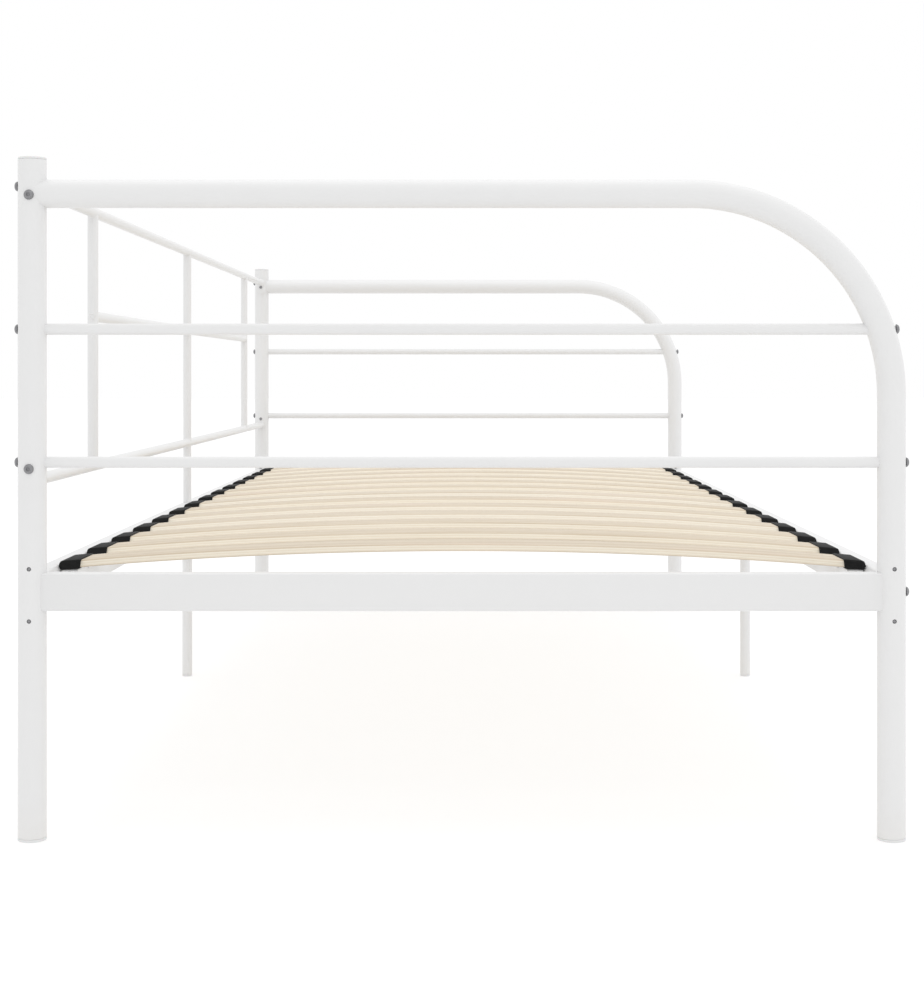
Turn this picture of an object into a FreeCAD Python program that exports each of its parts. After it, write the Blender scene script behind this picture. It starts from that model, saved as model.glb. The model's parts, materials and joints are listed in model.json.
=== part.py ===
import FreeCAD, Part
import math
import os

# Daybed: two tubular end frames with an arched front, a barred backrest along one long side, two
# side rails and a deck of bowed slats. Millimetres. +Z is up, +X runs along the bed and +Y points
# to the backrest. The origin is on the floor under the middle of the bed.

Vec = FreeCAD.Vector
X, Y, Z = Vec(1, 0, 0), Vec(0, 1, 0), Vec(0, 0, 1)

# Overall sizes
post_spacing_x = 2040.0    # from post centre to post centre, along the bed
post_spacing_y = 911.0     # from post centre to post centre, across the bed
post_height = 723.0        # floor to the top of the cap on a back post

# Large tubes: back posts and arched arms
post_diameter = 30.0
post_wall = 1.5
arm_drop = 38.5            # top of the post down to the centre of the arm's level run
bend_radius = 213.0        # centre line of the arm's bend
cap_flange = 2.5
foot_flange = 3.0
plug_depth = 18.0          # how far plastic plugs and threaded inserts reach into a tube
plug_clearance = 0.1

# Bars of the end frames
bar_diameter = 12.0
bar_wall = 1.2
upper_bar_drop = 143.5     # centre of the arm down to the centre of the upper bar
middle_bar_rise = 117.0    # top of the cross rail up to the centre of the middle bar

# Rectangular rails: cross rails in the end frames and side rails
rail_width = 20.0
rail_height = 40.0
rail_wall = 1.5
rail_corner = 2.5
rail_underside = 243.0     # floor to the underside of every rail
side_rail_inset = 1.0      # the side rails lie this much inside the line of the posts

# Saddles that carry the side rails and the backrest on the round posts
saddle_thickness = 3.0
saddle_half_width = 10.0
upper_bolt_rise = 5.0      # bolts of a side rail above its top
lower_bolt_drop = 10.0     # and below its underside

# Backrest
back_tube = 13.0
back_wall = 1.2
back_top_rise = 7.5        # top rail above the centre of the arm
back_bottom_drop = 19.5    # bottom rail below the centre of the middle bar
back_bar_drop = 128.0      # middle bar of the backrest below the top rail
upright_setback = 300.5    # outer uprights from the line of the posts
saddle_tail = 14.0         # saddle beyond its bolt

# Fasteners
bolt_diameter = 6.0
head_diameter = 10.5
head_height = 3.3
head_rim = 0.7
head_crown = 4.6           # flat top of the head
head_bulge = 0.55          # how far the dome swells beyond a straight cone
socket_across_flats = 4.0
socket_depth = 2.0
thread_reach = 15.0        # how far a bolt goes into its threaded insert
tip_stand = 2.0            # how far a backrest bolt stands out of its saddle
arm_bolt_rise = 7.8        # the arm's bolt above the arm's centre, clear of the backrest bolt
back_bolt_drop = 2.3       # upper backrest bolt below the arm's centre
low_bolt_drop = 6.5        # lower backrest bolt below the centre of the middle bar
small_bolt = 4.0
small_head = 7.0
tip_recess = 1.0           # tips of the side rail bolts end this far inside the outer wall's face
hole_clearance = 0.6       # on the diameter of a hole that a bolt passes through
thread_clearance = 0.1     # on the diameter of a threaded hole
seat_depth = 0.9           # flat ground for a bolt head on the bend
weld_gap = 0.05            # between tubes that are welded end to side
drill_overrun = 1.0        # a drilled hole's cutter runs past the wall by this much

# Slatted deck
slat_count = 14
slat_width = 63.0
slat_thickness = 8.0
slat_corner = 2.5
slat_camber = 19.6
slat_end_drop = 4.4        # underside of a slat's end below the top of the side rails
end_slat_gap = 104.5       # from the line of the posts to the centre of the first slat
cap_floor = 1.2            # plastic under the end of a slat
cap_top_wall = 1.2
cap_side_wall = 3.0
cap_end_wall = 2.0
cap_length = 24.0          # across the bed
cap_seat = 18.0            # how much of a cap's length is flat, where it stands on its bracket
cap_corner = 5.0
cap_gap = 0.1              # between a cap and the side rail beside it
slat_clearance = 0.15
peg_diameter = 5.0
peg_length = 3.0           # below the cap, through its bracket
peg_spacing = 30.0
peg_setback = 8.0          # peg centre from the outer end of the cap
peg_clearance = 0.2

# Steel angles that carry the caps on the inner faces of the side rails
bracket_width = 50.0
bracket_reach = 20.0
bracket_drop = 14.0
bracket_wall = 2.0

# Middle legs
leg_diameter = 16.0
leg_wall = 1.5
stud_diameter = 8.0
stud_in_leg = 15.0
nut_flange = 1.2
nut_diameter = 11.0
nut_height = 14.0

# Places worked out from the sizes
end_x = post_spacing_x / 2
post_y = post_spacing_y / 2
post_r = post_diameter / 2
bore_r = post_r - post_wall
arm_z = post_height - arm_drop
bend_y = bend_radius - post_y
bend_z = arm_z - bend_radius
upper_bar_z = arm_z - upper_bar_drop
rail_top = rail_underside + rail_height
rail_z = rail_underside + rail_height / 2
middle_bar_z = rail_top + middle_bar_rise
back_top_z = arm_z + back_top_rise
back_bottom_z = middle_bar_z - back_bottom_drop
back_bar_z = back_top_z - back_bar_drop
back_bolt_z = arm_z - back_bolt_drop
low_bolt_z = middle_bar_z - low_bolt_drop
arm_bolt_z = arm_z + arm_bolt_rise
upright_x = end_x - upright_setback
rail_bolt_places = (rail_underside - lower_bolt_drop, rail_top + upper_bolt_rise)
saddle_r = post_r + saddle_thickness
frame_bolt_length = post_diameter + thread_reach
back_bolt_length = post_r + saddle_r + tip_stand
rail_y = post_y - side_rail_inset
rail_face_y = rail_y - rail_width / 2
cap_outer_y = rail_face_y - cap_gap
cap_inner_y = cap_outer_y - cap_length
peg_y = cap_outer_y - peg_setback
slat_half = cap_outer_y - cap_end_wall
slat_end_z = rail_top - slat_end_drop
cap_floor_z = slat_end_z - cap_floor
slat_radius = (slat_half ** 2 + slat_camber ** 2) / (2 * slat_camber)
slat_axis_z = slat_end_z + slat_camber - slat_radius
slat_pitch = (post_spacing_x - 2 * end_slat_gap) / (slat_count - 1)

os.makedirs("parts", exist_ok=True)


def save(name, *solids):
    """Write one node: a single solid, or a group of like solids."""
    shape = solids[0] if len(solids) == 1 else Part.makeCompound(list(solids))
    shape.exportStep("parts/" + name + ".step")


def tube(radius, wall, length, start, direction):
    """Round tube from a start point along a direction."""
    outer = Part.makeCylinder(radius, length, start, direction)
    return outer.cut(Part.makeCylinder(radius - wall, length, start, direction))


def runs_along(edge, axis):
    """Whether a straight edge is parallel to an axis."""
    return abs(edge.tangentAt(edge.FirstParameter).dot(axis)) > 0.9


def rounded_block(corner, low, high, axis):
    """Block between two corners, with the four edges along the axis rounded."""
    size = high - low
    block = Part.makeBox(size.x, size.y, size.z, low)
    long_edges = []
    for edge in block.Edges:
        if runs_along(edge, axis):
            long_edges.append(edge)
    return block.makeFillet(corner, long_edges)


def rail(low, high, axis):
    """Rectangular tube between two corners, open at both ends of the axis."""
    wall = (Vec(1, 1, 1) - axis) * rail_wall
    core = rounded_block(rail_corner - rail_wall, low + wall, high - wall, axis)
    return rounded_block(rail_corner, low, high, axis).cut(core)


def bolt(head_seat, direction, length, diameter=bolt_diameter, head=head_diameter):
    """Button head bolt: the head's flat side is at head_seat and the shank runs along direction."""
    half = head / 2
    scale = head / head_diameter
    rim = head_rim * scale
    tall = head_height * scale
    shoulder = Vec(-rim, half, 0)
    crown = Vec(-tall, head_crown / 2 * scale, 0)
    slope = crown - shoulder
    outward = Vec(slope.y, -slope.x, 0).normalize()
    middle = (shoulder + crown) * 0.5 + outward * (head_bulge * scale)
    outline = [Part.LineSegment(Vec(0, 0, 0), Vec(0, half, 0)).toShape(),
               Part.LineSegment(Vec(0, half, 0), shoulder).toShape(),
               Part.Arc(shoulder, middle, crown).toShape(),
               Part.LineSegment(crown, Vec(-tall, 0, 0)).toShape(),
               Part.LineSegment(Vec(-tall, 0, 0), Vec(0, 0, 0)).toShape()]
    dome = Part.Face(Part.Wire(outline)).revolve(Vec(0, 0, 0), X, 360)
    shank = Part.makeCylinder(diameter / 2, length, Vec(0, 0, 0), X)
    corners = []
    for turn in range(7):
        angle = math.radians(60 * turn)
        reach = socket_across_flats * scale / 2 / math.cos(math.radians(30))
        corners.append(Vec(-tall, reach * math.cos(angle), reach * math.sin(angle)))
    socket = Part.Face(Part.makePolygon(corners)).extrude(Vec(socket_depth * scale, 0, 0))
    shape = Part.Solid(dome.Solids[0]).fuse(shank).cut(socket).removeSplitter().Solids[0]
    shape.Placement = FreeCAD.Placement(head_seat, FreeCAD.Rotation(X, direction))
    return shape


def cross_hole(centre, axis, diameter, reach=2 * post_diameter):
    """Cutter for a hole that is drilled right through a tube."""
    return Part.makeCylinder(diameter / 2, reach, centre - axis * (reach / 2), axis)


def round_block(radius, z, height, x, y):
    """Upright cylinder, used for posts, plugs and cutters."""
    return Part.makeCylinder(radius, height, Vec(x, y, z), Z)


def arm_body(x, radius):
    """Solid rod along the arm's centre line: level run, bend and front leg down to the foot."""
    leg = round_block(radius, foot_flange, bend_z - foot_flange, x, -post_y)
    ring = Part.Face(Part.Wire(Part.makeCircle(radius, Vec(x, -post_y, bend_z), Z)))
    bend = ring.revolve(Vec(x, bend_y, bend_z), X, -90)
    level = Part.makeCylinder(radius, post_y - bend_y, Vec(x, bend_y, arm_z), Y)
    return leg.fuse([Part.Solid(bend.Solids[0]), level])


def arm_y(z, offset=0.0):
    """Y of the arm's centre line at a height, or of its outer (+) or inner (-) side."""
    if z <= bend_z:
        return -post_y - offset
    return bend_y - math.sqrt((bend_radius + offset) ** 2 - (z - bend_z) ** 2)


def saddle(x, y, low, high):
    """Curved plate that hugs a post on its inner side, with rounded upper and lower ends."""
    side = math.copysign(1.0, x)
    shell = round_block(saddle_r, low, high - low, x, y).cut(round_block(post_r, low, high - low, x, y))
    inner = Vec(x - side * saddle_r, y, 0)
    reach = X * side * saddle_r
    outline = Part.makeBox(saddle_r, 2 * saddle_half_width, high - low - 2 * saddle_half_width,
                           Vec(min(inner.x, x), y - saddle_half_width, low + saddle_half_width))
    for z in (low + saddle_half_width, high - saddle_half_width):
        outline = outline.fuse(Part.makeCylinder(saddle_half_width, saddle_r, Vec(inner.x, y, z), reach))
    return shell.common(outline).Solids[0]


def seat_y(z):
    """Where a bolt head bears on the outer side of the arm, pointing to +Y."""
    if z + head_diameter / 2 <= bend_z:
        return arm_y(z, post_r)
    return arm_y(z - head_diameter / 2, post_r) + seat_depth


def slat_bar(x, width, below, above, corner, half_length):
    """Bowed strip: a rounded section swung about an axis far below the bed."""
    low = slat_axis_z + slat_radius - below
    high = slat_axis_z + slat_radius + slat_thickness + above
    block = rounded_block(corner, Vec(x - width / 2, -width, low), Vec(x + width / 2, 0, high), Y)
    face = max(block.Faces, key=lambda side: side.CenterOfMass.y)
    half_angle = math.degrees(math.asin(half_length / slat_radius))
    face.rotate(Vec(x, 0, slat_axis_z), X, -half_angle)
    return Part.Solid(face.revolve(Vec(x, 0, slat_axis_z), X, 2 * half_angle).Solids[0])


def slat_under(y):
    """Height of a slat's underside."""
    return slat_axis_z + math.sqrt(slat_radius ** 2 - y ** 2)


def slat_cap(x, side):
    """Pocket on the end of a slat, flat where it stands on its bracket, with two pegs."""
    outline = [Vec(0, cap_outer_y, cap_floor_z),
               Vec(0, cap_outer_y - cap_seat, cap_floor_z),
               Vec(0, cap_inner_y, slat_under(cap_inner_y) - cap_floor),
               Vec(0, cap_inner_y, slat_under(cap_inner_y) + slat_thickness + cap_top_wall),
               Vec(0, cap_outer_y, slat_under(slat_half) + slat_thickness + cap_top_wall),
               Vec(0, cap_outer_y, cap_floor_z)]
    width = slat_width + 2 * cap_side_wall
    body = Part.Face(Part.makePolygon(outline)).extrude(X * width)
    body.translate(Vec(x - width / 2, 0, 0))
    outer_edges = []
    for edge in body.Edges:
        if runs_along(edge, Z) and edge.CenterOfMass.y > cap_outer_y - cap_corner:
            outer_edges.append(edge)
    body = body.makeFillet(cap_corner, outer_edges)
    pocket = slat_bar(x, slat_width + 2 * slat_clearance, slat_clearance, slat_clearance,
                      slat_corner, slat_half + slat_clearance)
    body = body.cut(pocket)
    for step in (-1, 1):
        peg = round_block(peg_diameter / 2, cap_floor_z - peg_length, peg_length,
                          x + step * peg_spacing / 2, peg_y)
        body = body.fuse(peg)
    body = body.removeSplitter().Solids[0]
    return body if side > 0 else body.mirror(Vec(0, 0, 0), Y).Solids[0]


def cap_bracket(x, side):
    """Steel angle under a cap: a leg on the inner face of the side rail and a shelf with peg holes."""
    start = Vec(x - bracket_width / 2, rail_face_y - weld_gap, cap_floor_z)
    shelf = Part.makeBox(bracket_width, bracket_reach, bracket_wall,
                         start - Vec(0, bracket_reach, bracket_wall))
    leg = Part.makeBox(bracket_width, bracket_wall, bracket_drop, start - Vec(0, bracket_wall, bracket_drop))
    body = shelf.fuse(leg).removeSplitter()
    for step in (-1, 1):
        centre = Vec(x + step * peg_spacing / 2, peg_y, cap_floor_z)
        body = body.cut(cross_hole(centre, Z, peg_diameter + peg_clearance, reach=4 * bracket_wall))
    body = body.Solids[0]
    return body if side > 0 else body.mirror(Vec(0, 0, 0), Y).Solids[0]


def end_frame(name, side):
    """One end of the bed: post, arched arm, two bars, cross rail and what joins them."""
    x = side * end_x
    post_solid = round_block(post_r + weld_gap, 0, post_height, x, post_y)
    arm_solid = arm_body(x, post_r + weld_gap)
    through = bolt_diameter + hole_clearance
    thread = bolt_diameter + thread_clearance
    bars = [("upper_bar", upper_bar_z), ("middle_bar", middle_bar_z)]

    post = tube(post_r, post_wall, post_height - cap_flange - foot_flange,
                Vec(x, post_y, foot_flange), Z)
    for z in (arm_bolt_z, upper_bar_z, middle_bar_z):
        post = post.cut(cross_hole(Vec(x, post_y, z), Y, through))
    for z in (back_bolt_z, low_bolt_z):
        post = post.cut(cross_hole(Vec(x, post_y, z), X, through))

    arm = arm_body(x, post_r).cut(arm_body(x, bore_r)).cut(post_solid)
    arm = arm.cut(cross_hole(Vec(x, post_y, back_bolt_z), X, through))
    for z in (upper_bar_z, middle_bar_z, rail_z):
        arm = arm.cut(cross_hole(Vec(x, arm_y(z), z), Y, through))
        ground = Part.makeCylinder(head_diameter / 2 + hole_clearance, post_r, Vec(x, seat_y(z), z), Y * -1)
        arm = arm.cut(ground)
    for z in rail_bolt_places:
        small_hole = small_bolt + hole_clearance
        post = post.cut(cross_hole(Vec(x, post_y, z), X, small_hole))
        arm = arm.cut(cross_hole(Vec(x, -post_y, z), X, small_hole))
    save(name + "_back_post", post)
    save(name + "_arm_tube", arm)

    inserts = []
    bolts = [bolt(Vec(x, post_y + post_r, arm_bolt_z), Y * -1, frame_bolt_length),
             bolt(Vec(x, seat_y(rail_z), rail_z), Y, frame_bolt_length)]
    for bar_name, z in bars:
        front = arm_y(z)
        bar = tube(bar_diameter / 2, bar_wall, post_y - front, Vec(x, front, z), Y)
        save(name + "_" + bar_name, bar.cut(post_solid).cut(arm_solid))
        core = bar_diameter / 2 - bar_wall - plug_clearance
        hole = cross_hole(Vec(x, 0, z), Y, thread, reach=2 * post_spacing_y)
        front_insert = Part.makeCylinder(core, arm_y(z, -post_r) + plug_depth - front, Vec(x, front, z), Y)
        back_insert = Part.makeCylinder(core, post_r + plug_depth, Vec(x, post_y, z), Y * -1)
        inserts.append(front_insert.cut(arm_solid).cut(hole))
        inserts.append(back_insert.cut(post_solid).cut(hole))
        bolts.append(bolt(Vec(x, post_y + post_r, z), Y * -1, frame_bolt_length))
        bolts.append(bolt(Vec(x, seat_y(z), z), Y, frame_bolt_length))
    save(name + "_bar_inserts", *inserts)
    save(name + "_end_bolts", *bolts)

    half = rail_width / 2
    cross = rail(Vec(x - half, -post_y, rail_underside), Vec(x + half, post_y, rail_top), Y)
    save(name + "_cross_rail", cross.cut(post_solid).cut(arm_solid))
    inside = rail_wall + plug_clearance
    plug = rounded_block(rail_corner - rail_wall, Vec(x - half + inside, -post_y, rail_underside + inside),
                         Vec(x + half - inside, -post_y + post_r + plug_depth, rail_top - inside), Y)
    hole = cross_hole(Vec(x, -post_y, rail_z), Y, thread, reach=4 * frame_bolt_length)
    save(name + "_rail_plug", plug.cut(arm_solid).cut(hole))

    core = bore_r - plug_clearance
    arm_plug = Part.makeCylinder(core, post_r + plug_depth, Vec(x, post_y, arm_z), Y * -1)
    hole = cross_hole(Vec(x, post_y, arm_bolt_z), Y, thread, reach=4 * frame_bolt_length)
    save(name + "_arm_plug", arm_plug.cut(post_solid).cut(hole))

    flange_z = post_height - cap_flange
    stem = round_block(core, flange_z - plug_depth, plug_depth, x, post_y)
    flange = round_block(post_r, flange_z, cap_flange, x, post_y)
    save(name + "_post_cap", flange.fuse(stem).removeSplitter())


def foot_plug(radius, wall, x, y):
    """Plastic plug with a flange that the tube stands on."""
    flange = round_block(radius, 0, foot_flange, x, y)
    return flange.fuse(round_block(radius - wall - plug_clearance, 0, foot_flange + plug_depth, x, y))


def side_rails():
    """Both side rails with their saddles and bolts, and the hole for each middle leg."""
    plates = []
    bolts = []
    half = rail_width / 2
    for name, side in (("front", -1), ("back", 1)):
        y = side * rail_y
        body = rail(Vec(-end_x, y - half, rail_underside), Vec(end_x, y + half, rail_top), X)
        for end in (-1, 1):
            x = end * end_x
            body = body.cut(round_block(saddle_r + weld_gap, rail_underside, rail_height, x, side * post_y))
            low, high = rail_bolt_places
            plate = saddle(x, side * post_y, low - saddle_half_width, high + saddle_half_width)
            for z in rail_bolt_places:
                seat = Vec(x - end * saddle_r, side * post_y, z)
                plate = plate.cut(cross_hole(seat, X, small_bolt + hole_clearance))
                length = saddle_r + post_r - tip_recess
                bolts.append(bolt(seat, X * end, length, small_bolt, small_head))
            plates.append(plate)
        stud_hole = (stud_diameter + hole_clearance) / 2 if side > 0 else nut_diameter / 2
        drilled = rail_height if side > 0 else rail_wall
        hole = round_block(stud_hole, rail_underside - drill_overrun, drilled + 2 * drill_overrun,
                           0, side * post_y)
        save(name + "_side_rail", body.cut(hole))
    save("side_rail_saddles", *plates)
    save("side_rail_bolts", *bolts)


def backrest():
    """Barred panel between the back posts, bolted to them through saddles."""
    radius = back_tube / 2
    posts = []
    tabs = []
    bolts = []
    for end in (-1, 1):
        x = end * end_x
        posts.append(round_block(saddle_r + weld_gap, 0, post_height, x, post_y))
        upper = saddle(x, post_y, back_bolt_z - saddle_tail, back_top_z + radius + saddle_thickness)
        upper = upper.cut(arm_body(x, post_r + weld_gap))
        lower = saddle(x, post_y, back_bottom_z - radius - saddle_thickness, low_bolt_z + saddle_tail)
        for tab, z in ((upper, back_bolt_z), (lower, low_bolt_z)):
            hole = cross_hole(Vec(x, post_y, z), X, bolt_diameter + thread_clearance)
            tabs.append(tab.cut(hole))
            bolts.append(bolt(Vec(x + end * post_r, post_y, z), X * -end, back_bolt_length))
    save("backrest_saddles", *tabs)
    save("backrest_bolts", *bolts)

    rails = []
    for name, z in (("backrest_top_rail", back_top_z), ("backrest_bottom_rail", back_bottom_z)):
        body = tube(radius, back_wall, post_spacing_x, Vec(-end_x, post_y, z), X)
        save(name, body.cut(posts))
        rails.append(Part.makeCylinder(radius + weld_gap, post_spacing_x, Vec(-end_x, post_y, z), X))

    uprights = []
    for name, x in (("left", -upright_x), ("centre", 0.0), ("right", upright_x)):
        span = back_top_z - back_bottom_z
        body = tube(radius, back_wall, span, Vec(x, post_y, back_bottom_z), Z)
        save("backrest_" + name + "_upright", body.cut(rails))
        uprights.append(round_block(radius + weld_gap, back_bottom_z, span, x, post_y))
    for name, x in (("left", -upright_x), ("right", 0.0)):
        body = tube(radius, back_wall, upright_x, Vec(x, post_y, back_bar_z), X)
        save("backrest_" + name + "_bar", body.cut(uprights))

    strut = tube(radius, back_wall, back_bottom_z - rail_top, Vec(0, post_y, rail_top), Z)
    save("backrest_centre_strut", strut.cut(rails))
    insert = round_block(radius - back_wall - plug_clearance, rail_top, plug_depth, 0, post_y)
    stud = round_block((stud_diameter + thread_clearance) / 2, rail_top, plug_depth, 0, post_y)
    save("backrest_strut_insert", insert.cut(stud))


def middle_legs():
    """Thin legs under the middle of both side rails, screwed up into them with studs."""
    radius = leg_diameter / 2
    leg_top = rail_underside - nut_flange
    feet = []
    plugs = []
    for name, side in (("front", -1), ("back", 1)):
        y = side * post_y
        top = leg_top if side < 0 else rail_underside
        save(name + "_middle_leg", tube(radius, leg_wall, top - foot_flange, Vec(0, y, foot_flange), Z))
        feet.append(foot_plug(radius, leg_wall, 0, y))
        core = radius - leg_wall - plug_clearance
        plug = round_block(core, top - plug_depth, plug_depth, 0, y)
        plugs.append(plug.cut(round_block((stud_diameter + thread_clearance) / 2, top - plug_depth,
                                          plug_depth, 0, y)))
        reach = rail_top + stud_in_leg if side > 0 else rail_underside + nut_height - nut_flange
        save(name + "_leg_stud", round_block(stud_diameter / 2, top - stud_in_leg,
                                             reach - top + stud_in_leg, 0, y))
    save("middle_leg_feet", *feet)
    save("middle_leg_plugs", *plugs)
    barrel = round_block(nut_diameter / 2 - plug_clearance, leg_top, nut_height, 0, -post_y)
    flange = round_block(radius, leg_top, nut_flange, 0, -post_y)
    bore = round_block((stud_diameter + thread_clearance) / 2, leg_top, nut_height, 0, -post_y)
    save("front_leg_rivet_nut", flange.fuse(barrel).cut(bore))


def slat_places():
    """X of every slat's centre, evenly spread between the end slats."""
    first = end_slat_gap - end_x
    return [first + number * slat_pitch for number in range(slat_count)]


def slats():
    """The bowed slats, one node each, with the plastic caps on their ends and the caps' brackets."""
    for number, x in enumerate(slat_places(), start=1):
        save("slat_%02d" % number, slat_bar(x, slat_width, 0, 0, slat_corner, slat_half))
    for name, side in (("front", -1), ("back", 1)):
        save(name + "_slat_caps", *[slat_cap(x, side) for x in slat_places()])
    save("cap_brackets", *[cap_bracket(x, side) for side in (-1, 1) for x in slat_places()])


end_frame("left", -1)
end_frame("right", 1)
corners = [(x, y) for x in (-end_x, end_x) for y in (-post_y, post_y)]
save("post_feet", *[foot_plug(post_r, post_wall, x, y) for x, y in corners])
side_rails()
backrest()
middle_legs()
slats()
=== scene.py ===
"""Finished look of a steel tube daybed with a slatted deck, built round its CAD frame.

Every piece is a surface worked out on a grid of two parameters, in metres, in the frame's own axes:
+X along the bed, +Y towards the backrest, +Z up, with the origin on the floor under the middle.
"""

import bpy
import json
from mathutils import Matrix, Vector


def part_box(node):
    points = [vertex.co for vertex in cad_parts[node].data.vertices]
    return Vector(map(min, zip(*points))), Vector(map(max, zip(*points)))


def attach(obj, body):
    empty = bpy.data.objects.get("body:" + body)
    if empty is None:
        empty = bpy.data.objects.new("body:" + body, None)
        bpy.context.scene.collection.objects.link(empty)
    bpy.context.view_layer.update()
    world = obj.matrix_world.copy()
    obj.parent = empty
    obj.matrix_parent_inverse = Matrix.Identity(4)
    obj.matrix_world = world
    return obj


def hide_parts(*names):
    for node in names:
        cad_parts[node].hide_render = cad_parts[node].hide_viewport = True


bl_info = {
    "name": "Tube Daybed",
    "version": (1, 0, 0),
    "blender": (4, 5, 0),
    "location": "View3D > Sidebar > Daybed",
    "description": "Builds a white steel daybed with bowed plywood slats around its CAD frame",
    "category": "Add Mesh",
}

import json
import math
import bpy
import numpy as np
from bpy.props import FloatProperty, FloatVectorProperty, IntProperty, PointerProperty

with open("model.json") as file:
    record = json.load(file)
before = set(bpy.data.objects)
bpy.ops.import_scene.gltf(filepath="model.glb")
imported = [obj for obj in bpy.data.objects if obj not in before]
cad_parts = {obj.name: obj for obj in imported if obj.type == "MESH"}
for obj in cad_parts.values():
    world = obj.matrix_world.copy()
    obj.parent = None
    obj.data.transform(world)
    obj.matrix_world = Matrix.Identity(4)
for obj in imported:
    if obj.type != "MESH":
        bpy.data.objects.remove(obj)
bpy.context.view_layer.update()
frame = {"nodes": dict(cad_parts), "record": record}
MM = 0.001
BODY = "root"
ENDS = (("left", -1.0), ("right", 1.0))
SIDES = (("front", -1.0), ("back", 1.0))
AXIS_X, AXIS_Y, AXIS_Z = np.eye(3)
WHITE = (1.0, 1.0, 1.0, 1.0)
FIT = 0.05 * MM             # hair's breadth between pieces that touch
EDGE = 0.4 * MM             # easing of a cut tube end
BAR_TUCK = 6 * MM           # how far the bars run on inside the back posts
RAIL_TUCK = 7 * MM          # and the cross rails inside the posts and front legs
SADDLE_THICKNESS = 3 * MM
SADDLE_TAIL = 14 * MM       # how far a backrest saddle runs past its bolt
HOLE_SLACK = 0.3 * MM       # between a bolt's tip and the hole it shows in

# Head of a frame bolt, which a smaller bolt scales down
HEAD_RADIUS = 5.25 * MM
HEAD_CROWN = 2.45 * MM      # radius of the flat on top
HEAD_RIM = 0.7 * MM         # height of the straight edge
HEAD_SOCKET = 4 * MM        # across the flats
HEAD_BULGE = 0.5 * MM


def low(node):
    """Lowest corner of a CAD node."""
    return np.array(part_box(node)[0])


def high(node):
    """Highest corner of a CAD node."""
    return np.array(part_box(node)[1])


def middle(node):
    """Centre of a CAD node's box."""
    return (low(node) + high(node)) / 2


# Measures read from the frame
post_x, post_y = middle("right_back_post")[:2]
post_radius = (high("right_back_post")[0] - low("right_back_post")[0]) / 2
post_top = high("right_post_cap")[2]
cap_seam = high("right_back_post")[2]
foot_seam = low("right_back_post")[2]
arm_z = high("right_arm_tube")[2] - post_radius
bar_radius = (high("right_middle_bar")[0] - low("right_middle_bar")[0]) / 2
middle_bar_z = middle("right_middle_bar")[2]
upper_bar_z = low("right_upper_bar")[2] + bar_radius
rail_low, rail_high = low("right_cross_rail")[2], high("right_cross_rail")[2]
rail_z = (rail_low + rail_high) / 2
rail_width = high("right_cross_rail")[0] - low("right_cross_rail")[0]
side_rail_y = middle("back_side_rail")[1]
back_radius = (high("backrest_top_rail")[2] - low("backrest_top_rail")[2]) / 2
back_top_z = middle("backrest_top_rail")[2]
back_bottom_z = middle("backrest_bottom_rail")[2]
back_bar_z = middle("backrest_left_bar")[2]
upright_x = middle("backrest_right_upright")[0]
leg_radius = (high("front_middle_leg")[0] - low("front_middle_leg")[0]) / 2
saddle_radius = post_radius + SADDLE_THICKNESS
rail_face_y = side_rail_y - (high("back_side_rail")[1] - low("back_side_rail")[1]) / 2
bracket_top = high("cap_brackets")[2]
slat_names = sorted(name for name in frame["nodes"] if name.startswith("slat_"))
slat_width = high("slat_01")[0] - low("slat_01")[0]


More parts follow.
